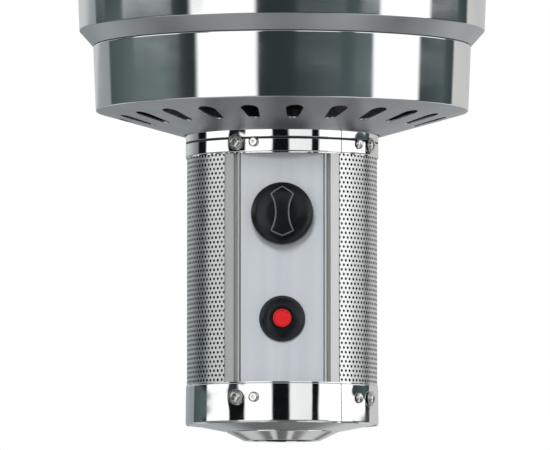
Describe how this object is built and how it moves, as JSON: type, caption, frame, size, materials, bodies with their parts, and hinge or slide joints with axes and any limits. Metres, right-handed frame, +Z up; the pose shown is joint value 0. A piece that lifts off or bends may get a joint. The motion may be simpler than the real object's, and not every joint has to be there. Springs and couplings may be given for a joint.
{
  "type": "patio heater head",
  "caption": "Gas patio heater head: perforated control column with knob and igniter, two-tier vented pan, emitter and domed reflector on a pole hub.",
  "frame": {"origin": "centre of the pole hub's lower rim, on the axis of the pole", "axes": "+Z up along the pole, -Y out of the control panel, +X to the right of someone facing the panel"},
  "size_m": [0.813, 0.813, 0.6175],
  "materials": {
    "polished_stainless": "mirror-polished stainless steel, spun or rolled",
    "perforated_stainless": "polished perforated stainless sheet",
    "screws": "bright nickel-plated screws and nuts",
    "brushed_panel": "brushed, grain upright",
    "extruded_trim": "satin extrusion",
    "spun_aluminium": "spun, fine rings",
    "black_steel": "black heat-resistant coating",
    "zinc_plated": "zinc-plated pressed and turned steel",
    "brass": "machined brass",
    "copper": "drawn copper tube",
    "heatproof_steel": "heat-resistant steel, lightly oxidised",
    "emitter_mesh": "perforated heat-resistant steel",
    "black_plastic": "moulded black, satin",
    "red_plastic": "moulded red, satin gloss",
    "ceramic": "glazed ceramic",
    "silicone_sleeve": "silicone sleeve"
  },
  "bodies": {
    "root": {"pole_hub": "polished_stainless", "base_dish": "polished_stainless", "hub_screw_1": "zinc_plated", "hub_screw_2": "zinc_plated", "hub_screw_3": "zinc_plated", "bottom_band": "polished_stainless", "upper_band": "polished_stainless", "perforated_guard": "perforated_stainless", "left_trim": "extruded_trim", "right_trim": "extruded_trim", "control_panel": "brushed_panel", "upper_closer": "brushed_panel", "lower_closer": "brushed_panel", "column_liner": "black_steel", "bottom_band_screw_1": "screws", "bottom_band_screw_2": "screws", "bottom_band_screw_3": "screws", "bottom_band_screw_4": "screws", "upper_band_screw_1": "screws", "upper_band_screw_2": "screws", "upper_band_screw_3": "screws", "upper_band_screw_4": "screws", "valve_bracket": "zinc_plated", "valve_body": "brass", "tilt_switch": "black_plastic", "igniter_bezel": "black_plastic", "igniter_body": "black_plastic", "igniter_nut": "black_plastic", "inlet_fitting": "brass", "inlet_pipe": "copper", "outlet_tube": "copper", "injector": "brass", "mixing_tube": "heatproof_steel", "burner_head": "heatproof_steel", "pilot_tube": "copper", "pilot_burner": "brass", "pilot_bracket": "zinc_plated", "thermocouple": "zinc_plated", "thermocouple_lead": "copper", "spark_electrode": "ceramic", "ignition_lead": "silicone_sleeve", "pan_lower": "polished_stainless", "pan_upper": "polished_stainless", "burner_deck": "heatproof_steel", "heat_shield": "heatproof_steel", "emitter_screen": "emitter_mesh", "emitter_cap": "heatproof_steel", "reflector": "spun_aluminium", "reflector_standoff_1": "zinc_plated", "reflector_standoff_2": "zinc_plated", "reflector_standoff_3": "zinc_plated", "dome_nut_1": "screws", "dome_nut_2": "screws", "dome_nut_3": "screws"},
    "valve_rotor": {"valve_plug": "brass"},
    "knob": {"valve_stem": "zinc_plated", "control_knob": "black_plastic"},
    "igniter_push": {"igniter_button": "red_plastic"}
  },
  "joints": [
    {"name": "knob_turn", "type": "hinge", "parent": "root", "child": "valve_rotor", "pos_m": [0, -0.0613, 0.173], "axis": [0, -1, 0], "range_deg": [0, 180]},
    {"name": "knob_push", "type": "slide", "parent": "valve_rotor", "child": "knob", "axis": [0, 1, 0], "range_m": [0, 0.003], "stiffness_N_per_m": 800},
    {"name": "igniter_push", "type": "slide", "parent": "root", "child": "igniter_push", "axis": [0, 1, 0], "range_m": [0, 0.004], "stiffness_N_per_m": 1000}
  ]
}
